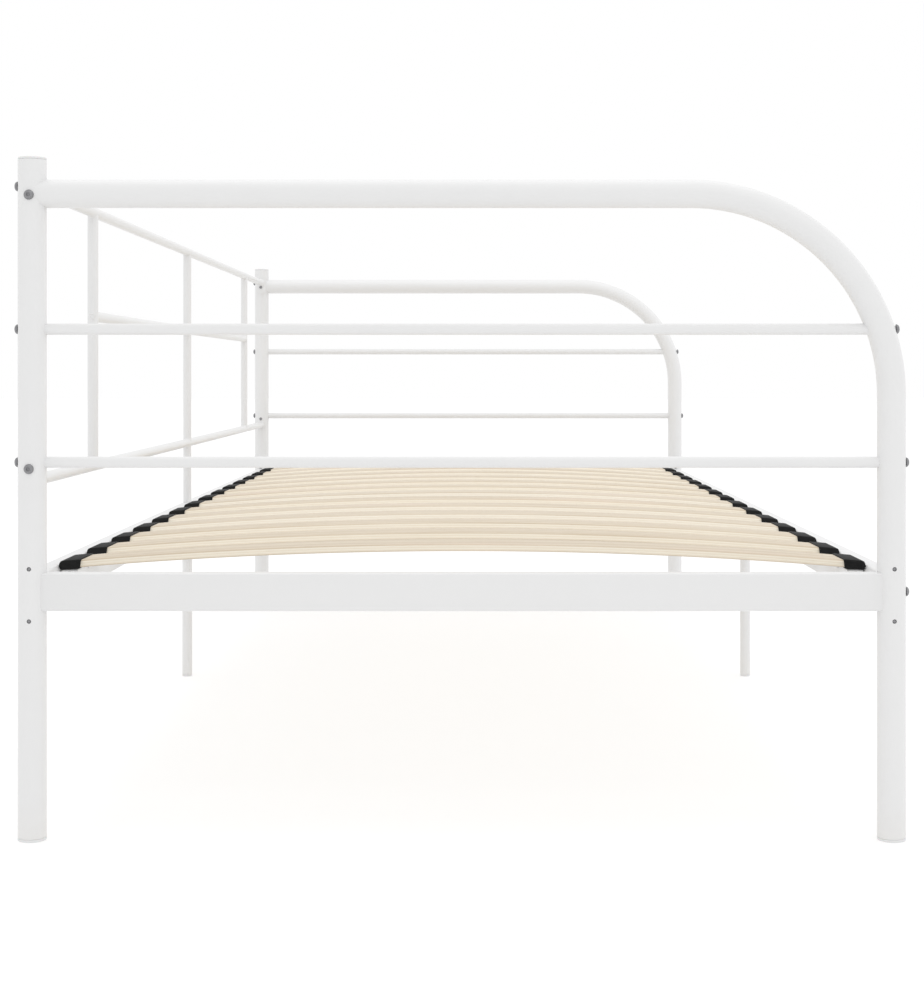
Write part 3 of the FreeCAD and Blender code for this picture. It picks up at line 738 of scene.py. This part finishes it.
def weld_bead(centre, out, host_axis, tube, host, sizes):
    """Bead round a tube that meets a host tube squarely: its line runs round the tube where
    q = sqrt(host^2 - (tube sin t)^2). Its rippled face spans from tube to host and swells between
    them, and its root is hidden inside both."""
    out, host_axis = np.asarray(out, float), np.asarray(host_axis, float)
    across = np.cross(out, host_axis)
    count, root, sunk, swell = 72, 0.8 * MM, 0.6 * MM, 0.18
    turn = np.arange(count) * math.tau / count
    ripple = sizes.weld * (1 + 0.10 * np.sin(turn * 19) + 0.06 * np.sin(turn * 7 + 1))

    def at(radius, lift):
        lateral = np.clip(radius * np.sin(turn), -host * 0.999, host * 0.999)
        q = np.sqrt(host ** 2 - lateral ** 2) + lift
        return (np.asarray(centre) + q[:, None] * out + (radius * np.cos(turn))[:, None] * host_axis
                + lateral[:, None] * across)

    on_tube = at(tube, ripple)
    on_host = at(tube + ripple, 0.0)
    inside = at(tube - root, -sunk)
    corner = at(tube, 0.0)
    loops = []
    for t in np.linspace(0, 1, 6):
        flat = on_tube * (1 - t) + on_host * t
        loops.append(flat + (flat - corner) * swell * 4 * t * (1 - t))
    loops.append(inside)
    return skin(np.stack(loops, 1), True)


def plug_weld(centre, out, host):
    """Crater of a weld through a tube's wall: a ring of radius r round the point where out leaves the
    tube, laid on the tube as sqrt(host^2 - lateral^2) plus a height that rises at the rim and sinks
    to a hollow in the middle."""
    out = np.asarray(out, float)
    count = 40
    turn = np.arange(count) * math.tau / count
    radius = np.array([0.2, 1.2, 2.1, 2.6, 3.1, 3.7, 4.2, 4.0]) * MM
    height = np.array([0.1, 0.1, 0.15, 0.6, 1.15, 1.05, 0.4, -0.6]) * MM
    wobble = 1 + 0.06 * np.sin(turn * 5 + 0.6) + 0.03 * np.sin(turn * 11)
    lateral = radius[:, None] * np.cos(turn) * wobble
    up = radius[:, None] * np.sin(turn) * wobble
    lift = np.sqrt(host ** 2 - lateral ** 2) + height[:, None]
    return skin(np.asarray(centre) + lift[..., None] * out + lateral[..., None] * AXIS_Y
                + up[..., None] * AXIS_Z)


def bolt(seat, direction, length, shank, head, tall):
    """Button head bolt with a hexagon socket: a turned profile whose socket rings are hexagons. The
    head is a cone from rim to crown, where t goes from 0 to 1, and swells by 4 t (1 - t) bulge."""
    scale = head / HEAD_RADIUS
    crown, rim, across, bulge = (scale * size for size in (HEAD_CROWN, HEAD_RIM, HEAD_SOCKET, HEAD_BULGE))
    t = np.linspace(0, 1, 9)
    swell = bulge * 4 * t * (1 - t)
    slope = np.array([tall - rim, head - crown])
    slope /= np.linalg.norm(slope)
    heights = np.concatenate([[-length, -length + 0.5 * MM, 0, 0, 0.15 * MM],
                              rim + (tall - rim) * t + swell * slope[1],
                              [tall - 0.12 * MM, tall * 0.4, tall * 0.3]])
    radii = np.concatenate([[shank - 0.5 * MM, shank, shank, head - 0.15 * MM, head],
                            head - (head - crown) * t + swell * slope[0],
                            [across / 2, across / 2, 0.4 * MM]])
    hexed = np.zeros(len(heights))
    hexed[-3:-1] = 1
    return turned(seat, -np.asarray(direction, float), heights, radii, 48, hexed, across)


SEAT_DEPTH = 0.9 * MM       # flat ground for a bolt head on the bend


def seat_y(z, sizes):
    """Where a bolt head bears on the outer side of the arm."""
    if z + sizes.head_radius <= arm_z - sizes.bend_radius:
        return arm_y(z, sizes, post_radius)
    return arm_y(z - sizes.head_radius, sizes, post_radius) + SEAT_DEPTH


# ---------------------------------------------------------------- slats and what carries them

def slat_bow(sizes):
    """Radius of a slat's underside and the height of its axis, from the slat's box: its top rises by
    height above an end whose top corner stands at half, so outer radius = (half^2 + height^2) /
    (2 height), where the end's face leans by the same angle as the slat."""
    bottom, top = low("slat_01"), high("slat_01")
    thick, half = sizes.slat_thickness, top[1]
    rise = top[2] - bottom[2] - thick
    for _ in range(4):
        outer = (half ** 2 + rise ** 2) / (2 * rise)
        lean = math.asin(half / outer)
        rise = top[2] - bottom[2] - thick * math.cos(lean)
    return outer - thick, top[2] - outer


def slat_cap(x, side, sizes):
    """Moulded pocket: rings square to Y, from the bottom of the pocket out to its mouth, over the lip
    and along the outside to the closed end. There the rings shrink by a quarter circle, both sideways
    and in height, so the end is rounded all round. The mouth leans: its top reaches further in than
    its foot."""
    outer_y, inner_y = high("back_slat_caps")[1], low("back_slat_caps")[1]
    half_width = high("back_slat_caps")[0] - middle(slat_names[-1])[0]
    radius, axis_z = slat_bow(sizes)
    thick = sizes.slat_thickness
    slat_end = high("slat_01")[1]

    def under(y):
        return axis_z + np.sqrt(radius ** 2 - y ** 2)

    lip, nose, slack = 1.2 * MM, sizes.cap_nose, 0.3 * MM
    mouth_reach, nose_reach = 8 * MM, 6 * MM
    quarter = np.linspace(0, math.pi / 2, 9)
    fine = quarter[::2]
    y = np.concatenate([inner_y + lip * (1 - np.sin(fine[::-1])),
                        [inner_y + mouth_reach, outer_y - nose - nose_reach],
                        outer_y - nose + nose * np.sin(quarter)])
    shrink = np.concatenate([lip * (1 - np.cos(fine[::-1])), [0, 0], nose * (1 - np.cos(quarter))])
    bottom_z = np.maximum(bracket_top, under(y) - sizes.cap_wall)
    top_z = under(np.minimum(y, slat_end)) + thick + sizes.cap_wall
    tall = top_z - bottom_z
    squeeze = shrink * (tall.max() / 2 - slack) / nose
    squeeze[:len(fine)] = shrink[:len(fine)]
    corner = np.minimum(2.2 * MM, (tall - 2 * squeeze) * 0.45)
    shell = rounded_rectangle(2 * (half_width - shrink), tall - 2 * squeeze, corner, 5)
    centre_z = (top_z + bottom_z) / 2
    outside = np.stack([x + shell[..., 0], np.broadcast_to(y[:, None], shell.shape[:2]),
                        centre_z[:, None] + shell[..., 1]], -1)
    mouth = rounded_rectangle(slat_width + slack, thick + slack, sizes.slat_corner, 5)
    depth = np.array([slat_end + slack, slat_end, inner_y + 2 * slack, inner_y])
    spread = np.array([0.96, 1, 1, 1.004])[:, None]
    inside = np.stack([x + mouth[:, 0] * spread, np.broadcast_to(depth[:, None], (4, len(mouth))),
                       under(depth)[:, None] + thick / 2 + mouth[:, 1] * spread], -1)
    rings = np.concatenate([inside, outside])
    near_mouth = np.clip(1 - (rings[..., 1] - inner_y) / mouth_reach, 0, 1)
    rings[..., 1] += (centre_z[0] - rings[..., 2]) * sizes.cap_lean * near_mouth
    rings[..., 1] *= side
    return skin(rings)


def cap_bracket(x, side, sizes):
    """Strip of steel bent to an angle: a rounded rectangle carried up the leg on the rail's face,
    round a quarter circle and out along the shelf under the cap."""
    wall = sizes.bracket_wall
    bend, chamfer, straight_leg = 1.6 * wall, 0.3 * MM, 5 * MM
    face = rail_face_y - FIT - wall / 2
    foot = low("cap_brackets")[2]
    width = 2 * (high("cap_brackets")[0] - middle(slat_names[-1])[0])
    shelf_z = bracket_top - wall / 2
    turn = np.linspace(0, math.pi / 2, 9)
    y = np.concatenate([[face, face], face - bend + bend * np.cos(turn),
                        [face - sizes.bracket_reach + wall]])
    z = np.concatenate([[foot + chamfer, foot + straight_leg], shelf_z - bend + bend * np.sin(turn),
                        [shelf_z]])
    path = np.stack([np.full(len(y), x), y * side, z], -1)
    outline = rounded_rectangle(width, wall, 0.5 * MM, 3)
    rings = carried(path, AXIS_X, outline)
    ends = carried(path, AXIS_X, outline * 0.96)[[0, -1]]
    ends[0] -= chamfer * AXIS_Z
    ends[1] -= chamfer * side * AXIS_Y
    return skin(np.concatenate([ends[:1], rings, ends[1:]]))


# ---------------------------------------------------------------- operators

class DAYBED_OT_end_frames(bpy.types.Operator):
    """Build both end frames: posts, arched arms, round bars and cross rails"""
    bl_idname = "daybed.end_frames"
    bl_label = "End frames"

    def execute(self, context):
        for name, side in ENDS:
            end_frame(name, side, context.scene.daybed_sizes)
        return {"FINISHED"}


class DAYBED_OT_plugs(bpy.types.Operator):
    """Build the flat caps on the back posts and the feet under every leg"""
    bl_idname = "daybed.plugs"
    bl_label = "Caps and feet"

    def execute(self, context):
        count = context.scene.daybed_sizes.segments
        for name, side in ENDS:
            cap = eased_plug(side * post_x, post_y, post_radius, cap_seam + FIT, post_top, 0.8 * MM, count)
            add_piece(name + "_flat_cap", [cap], [name + "_post_cap"], "white_plastic")
        foot_top = foot_seam - FIT
        feet = [eased_plug(end * post_x, side * post_y, post_radius, 0.0, foot_top, 0.7 * MM, count)
                for _, end in ENDS for _, side in SIDES]
        add_piece("post_foot_plugs", feet, ["post_feet"], "white_plastic")
        small = [eased_plug(0.0, side * post_y, leg_radius, 0.0, foot_top, 0.6 * MM, count)
                 for _, side in SIDES]
        add_piece("middle_leg_foot_plugs", small, ["middle_leg_feet"], "white_plastic")
        return {"FINISHED"}


class DAYBED_OT_backrest(bpy.types.Operator):
    """Build the barred backrest with its saddles and weld beads"""
    bl_idname = "daybed.backrest"
    bl_label = "Backrest"

    def execute(self, context):
        sizes = context.scene.daybed_sizes
        ring = circle(back_radius, 32)
        reach = post_x - saddle_radius + 2 * MM

        def tube(name, start, end, node):
            add_piece("backrest_" + name, [straight(start, end, ring, AXIS_Y)], ["backrest_" + node])

        for part, z in (("top", back_top_z), ("bottom", back_bottom_z)):
            tube(part + "_tube", (-reach, post_y, z), (reach, post_y, z), part + "_rail")
        inset = back_radius * 0.5
        for part, x in (("left", -upright_x), ("centre", 0.0), ("right", upright_x)):
            tube(part + "_post", (x, post_y, back_bottom_z + inset), (x, post_y, back_top_z - inset),
                 part + "_upright")
        for part, side in ENDS:
            tube(part + "_spar", (side * inset, post_y, back_bar_z),
                 (side * (upright_x - inset), post_y, back_bar_z), part + "_bar")
        tube("middle_strut", (0, post_y, rail_high), (0, post_y, back_bottom_z - inset), "centre_strut")

        back_bolt_z = arm_z - sizes.back_bolt_drop
        low_bolt_z = middle_bar_z - sizes.low_bolt_drop
        beyond = back_radius + SADDLE_THICKNESS
        plates = []
        beads = []

        def bead(x, z, out, host_axis, host=back_radius):
            beads.append(weld_bead((x, post_y, z), out, host_axis, back_radius, host, sizes))

        for _, side in ENDS:
            x = side * post_x
            plates.append(saddle(x, post_y, side, back_bolt_z - SADDLE_TAIL, back_top_z + beyond, sizes))
            plates.append(saddle(x, post_y, side, back_bottom_z - beyond, low_bolt_z + SADDLE_TAIL, sizes))
            for z in (back_top_z, back_bottom_z):
                bead(x, z, AXIS_X * -side, AXIS_Z, saddle_radius)
        for x in (-upright_x, 0.0, upright_x):
            bead(x, back_top_z, -AXIS_Z, AXIS_X)
            bead(x, back_bottom_z, AXIS_Z, AXIS_X)
        bead(0.0, back_bottom_z, -AXIS_Z, AXIS_X)
        for x, out in ((-upright_x, 1), (0.0, -1), (0.0, 1), (upright_x, -1)):
            bead(x, back_bar_z, AXIS_X * out, AXIS_Z)
        for _, side in ENDS:
            beads.append(plug_weld((side * upright_x, post_y, back_bar_z), AXIS_X * side, back_radius))
        add_piece("backrest_saddle_plates", plates, ["backrest_saddles"])
        add_piece("backrest_weld_beads", beads, [])
        return {"FINISHED"}


class DAYBED_OT_side_rails(bpy.types.Operator):
    """Build the two side rails and the saddles that carry them on the posts"""
    bl_idname = "daybed.side_rails"
    bl_label = "Side rails"

    def execute(self, context):
        sizes = context.scene.daybed_sizes
        outline = rounded_rectangle(rail_width, rail_high - rail_low, sizes.rail_corner)
        reach = post_x - post_radius + 1 * MM
        bottom, top = bolt_places(sizes)
        half = sizes.saddle_half_width
        plates = []
        for name, side in SIDES:
            y = side * side_rail_y
            body = straight((-reach, y, rail_z), (reach, y, rail_z), outline, AXIS_Y)
            add_piece(name + "_side_tube", [body], [name + "_side_rail"])
            for _, end in ENDS:
                plates.append(saddle(end * post_x, side * post_y, end, bottom - half, top + half, sizes))
        add_piece("side_rail_saddle_plates", plates, ["side_rail_saddles"])
        return {"FINISHED"}


class DAYBED_OT_middle_legs(bpy.types.Operator):
    """Build the thin legs under the middle of both side rails"""
    bl_idname = "daybed.middle_legs"
    bl_label = "Middle legs"

    def execute(self, context):
        for name, side in SIDES:
            y = side * post_y
            leg = straight((0, y, foot_seam), (0, y, rail_low + 0.5 * MM), circle(leg_radius, 40), AXIS_Y)
            add_piece(name + "_centre_leg", [leg], [name + "_middle_leg"])
        return {"FINISHED"}


class DAYBED_OT_slats(bpy.types.Operator):
    """Build the bowed plywood slats, each with its own patch of grain and its own tone"""
    bl_idname = "daybed.slats"
    bl_label = "Slats"

    def execute(self, context):
        sizes = context.scene.daybed_sizes
        thick, corner = sizes.slat_thickness, sizes.slat_corner
        radius, axis_z = slat_bow(sizes)
        sweep = math.asin(high("slat_01")[1] / (radius + thick))
        outline = rounded_rectangle(slat_width, thick, corner, 6)
        stations = 65
        turn = np.linspace(-sweep, sweep, stations)
        chance = np.random.default_rng(7)
        for name in slat_names:
            x = middle(name)[0]
            reach = radius + thick / 2 + outline[:, 1]
            rings = np.stack([np.broadcast_to(x + outline[:, 0], (stations, len(outline))),
                              reach * np.sin(turn)[:, None], axis_z + reach * np.cos(turn)[:, None]], -1)
            tone = chance.random()
            across = np.tile(outline[:, 0], stations)
            up = np.tile(outline[:, 1] / thick + 0.5, stations)
            along = np.repeat(turn * radius, len(outline))
            board = np.stack([across + tone * 3, along + tone * 11, up * thick + tone * 7], -1)
            beyond = np.abs(outline[:, 0]) - slat_width / 2 + corner
            bend = np.clip(beyond / corner, 0, 1)
            board = np.concatenate([board, board[:1], board[-1:]]).astype(np.float32)
            marks = {"board": board,
                     "edge": np.append(np.tile(bend, stations), [0, 0]).astype(np.float32),
                     "depth": np.append(up, [0.5, 0.5]).astype(np.float32),
                     "tone": np.full(len(board), tone, np.float32)}
            add_piece("ply_" + name, [skin(rings)], [name], "birch_ply", marks)
        return {"FINISHED"}


class DAYBED_OT_slat_caps(bpy.types.Operator):
    """Build the moulded pockets that hold the ends of the slats"""
    bl_idname = "daybed.slat_caps"
    bl_label = "Slat caps"

    def execute(self, context):
        sizes = context.scene.daybed_sizes
        bottom, chamfer, peg_radius = low("back_slat_caps")[2], 0.5 * MM, 2.5 * MM
        heights = [bottom, bottom + chamfer, bracket_top + 0.5 * MM]
        radii = [peg_radius - chamfer, peg_radius, peg_radius]
        for name, side in SIDES:
            caps = [slat_cap(middle(slat)[0], side, sizes) for slat in slat_names]
            for slat in slat_names:
                for step in (-1, 1):
                    peg = (middle(slat)[0] + step * sizes.peg_spacing / 2, side * sizes.peg_y, 0.0)
                    caps.append(turned(peg, AXIS_Z, heights, radii, 24))
            add_piece(name + "_cap_row", caps, [name + "_slat_caps"], "black_plastic")
        return {"FINISHED"}


class DAYBED_OT_cap_brackets(bpy.types.Operator):
    """Build the steel angles on the rails that the slat caps stand on"""
    bl_idname = "daybed.cap_brackets"
    bl_label = "Cap brackets"

    def execute(self, context):
        sizes = context.scene.daybed_sizes
        brackets = [cap_bracket(middle(slat)[0], side, sizes) for _, side in SIDES for slat in slat_names]
        add_piece("steel_brackets", brackets, ["cap_brackets"])
        return {"FINISHED"}


class DAYBED_OT_bolts(bpy.types.Operator):
    """Build the button head bolts of the ends, the backrest and the side rails"""
    bl_idname = "daybed.bolts"
    bl_label = "Bolts"

    def execute(self, context):
        sizes = context.scene.daybed_sizes
        shank, head, tall = sizes.bolt_radius, sizes.head_radius, sizes.head_height
        frame_length = 40 * MM
        for name, side in ENDS:
            x = side * post_x
            bolts = []
            for z in (arm_z + sizes.arm_bolt_rise, upper_bar_z, middle_bar_z):
                bolts.append(bolt((x, post_y + post_radius, z), -AXIS_Y, frame_length, shank, head, tall))
            for z in (upper_bar_z, middle_bar_z, rail_z):
                bolts.append(bolt((x, seat_y(z, sizes), z), AXIS_Y, frame_length, shank, head, tall))
            add_piece(name + "_frame_bolts", bolts, [name + "_end_bolts"], "zinc_steel")
        panel = []
        rails = []
        tip, recess = 2 * MM, 1 * MM        # past the saddle's face, and short of the post's
        through = post_radius + saddle_radius
        for _, side in ENDS:
            for z in (arm_z - sizes.back_bolt_drop, middle_bar_z - sizes.low_bolt_drop):
                seat = (side * (post_x + post_radius), post_y, z)
                panel.append(bolt(seat, AXIS_X * -side, through + tip, shank, head, tall))
            for _, across in SIDES:
                for z in bolt_places(sizes):
                    seat = (side * (post_x - saddle_radius), across * post_y, z)
                    rails.append(bolt(seat, AXIS_X * side, through - recess, sizes.small_bolt,
                                      sizes.small_head, tall * sizes.small_head / head))
        add_piece("backrest_panel_bolts", panel, ["backrest_bolts"], "zinc_steel")
        add_piece("side_rail_screws", rails, ["side_rail_bolts"], "zinc_steel")
        return {"FINISHED"}


class DAYBED_OT_inner_fittings(bpy.types.Operator):
    """Give the threaded inserts, plugs and studs inside the tubes their zinc finish"""
    bl_idname = "daybed.inner_fittings"
    bl_label = "Inner fittings"

    def execute(self, context):
        steel = finish("zinc_steel")
        for row in frame["record"]["subparts"]:
            if row["material_slot"] == "zinc_steel" and "bolts" not in row["node"]:
                mesh = frame["nodes"][row["node"]].data
                mesh.materials.clear()
                mesh.materials.append(steel)
        return {"FINISHED"}


class DAYBED_OT_studio(bpy.types.Operator):
    """Lay the pale floor, light the studio softly and set up the camera"""
    bl_idname = "daybed.studio"
    bl_label = "Studio"

    def execute(self, context):
        scene = context.scene
        studio = scene.daybed_studio
        reach = 30.0
        corners = [(-reach, -reach, 0), (reach, -reach, 0), (reach, reach, 0), (-reach, reach, 0)]
        mesh = bpy.data.meshes.new("floor")
        mesh.from_pydata(corners, [], [(0, 1, 2, 3)])
        mesh.materials.append(finish("studio_floor"))
        floor = bpy.data.objects.new("floor", mesh)
        scene.collection.objects.link(floor)

        world = bpy.data.worlds.new("white_studio")
        world.use_nodes = True
        backdrop = world.node_tree.nodes["Background"]
        backdrop.inputs["Color"].default_value = WHITE
        backdrop.inputs["Strength"].default_value = studio.ambient
        scene.world = world

        for name, place, aim, size, power in (
                ("key", (-3.0, -1.6, 3.2), (0, 0, 0.3), 2.4, 8.0),
                ("fill", (1.5, -3.5, 2.4), (0, 0, 0.3), 3.0, 6.0),
                ("top", (0.0, 0.0, 3.6), (0, 0, 0.2), 3.4, 24.0)):
            light = bpy.data.lights.new(name, "AREA")
            light.size = size
            light.energy = power
            lamp = bpy.data.objects.new(name, light)
            lamp.location = place
            aim_vector = Vector(aim) - Vector(place)
            lamp.rotation_euler = aim_vector.to_track_quat("-Z", "Y").to_euler()
            scene.collection.objects.link(lamp)

        lens = bpy.data.cameras.new("camera")
        lens.lens = studio.lens
        lens.sensor_width = 36.0
        lens.shift_x, lens.shift_y = studio.shift_x, studio.shift_y
        camera = bpy.data.objects.new("camera", lens)
        camera.location = (-post_x - studio.distance, studio.offset, studio.height)
        camera.rotation_euler = (math.pi / 2, 0, -math.pi / 2)
        scene.collection.objects.link(camera)
        scene.camera = camera
        scene.view_settings.view_transform = "Standard"
        return {"FINISHED"}


class DAYBED_PT_panel(bpy.types.Panel):
    """Buttons that build the daybed piece by piece"""
    bl_idname = "DAYBED_PT_panel"
    bl_label = "Daybed"
    bl_space_type = "VIEW_3D"
    bl_region_type = "UI"
    bl_category = "Daybed"

    def draw(self, context):
        for operator in OPERATORS:
            self.layout.operator(operator.bl_idname)


GROUPS = (DaybedSizes, DaybedColours, DaybedStudio)
OPERATORS = (DAYBED_OT_studio, DAYBED_OT_end_frames, DAYBED_OT_plugs, DAYBED_OT_backrest,
             DAYBED_OT_side_rails, DAYBED_OT_middle_legs, DAYBED_OT_slats, DAYBED_OT_slat_caps,
             DAYBED_OT_cap_brackets, DAYBED_OT_bolts, DAYBED_OT_inner_fittings)


def register():
    """Register the classes and hang the settings on the scene."""
    for item in GROUPS + OPERATORS + (DAYBED_PT_panel,):
        bpy.utils.register_class(item)
    bpy.types.Scene.daybed_sizes = PointerProperty(type=DaybedSizes)
    bpy.types.Scene.daybed_colours = PointerProperty(type=DaybedColours)
    bpy.types.Scene.daybed_studio = PointerProperty(type=DaybedStudio)


def unregister():
    """Undo register()."""
    for name in ("daybed_sizes", "daybed_colours", "daybed_studio"):
        delattr(bpy.types.Scene, name)
    for item in reversed(GROUPS + OPERATORS + (DAYBED_PT_panel,)):
        bpy.utils.unregister_class(item)


def main():
    """Build the studio and every piece."""
    register()
    for operator in OPERATORS:
        group, name = operator.bl_idname.split(".")
        getattr(getattr(bpy.ops, group), name)()


if __name__ == "__main__":
    main()
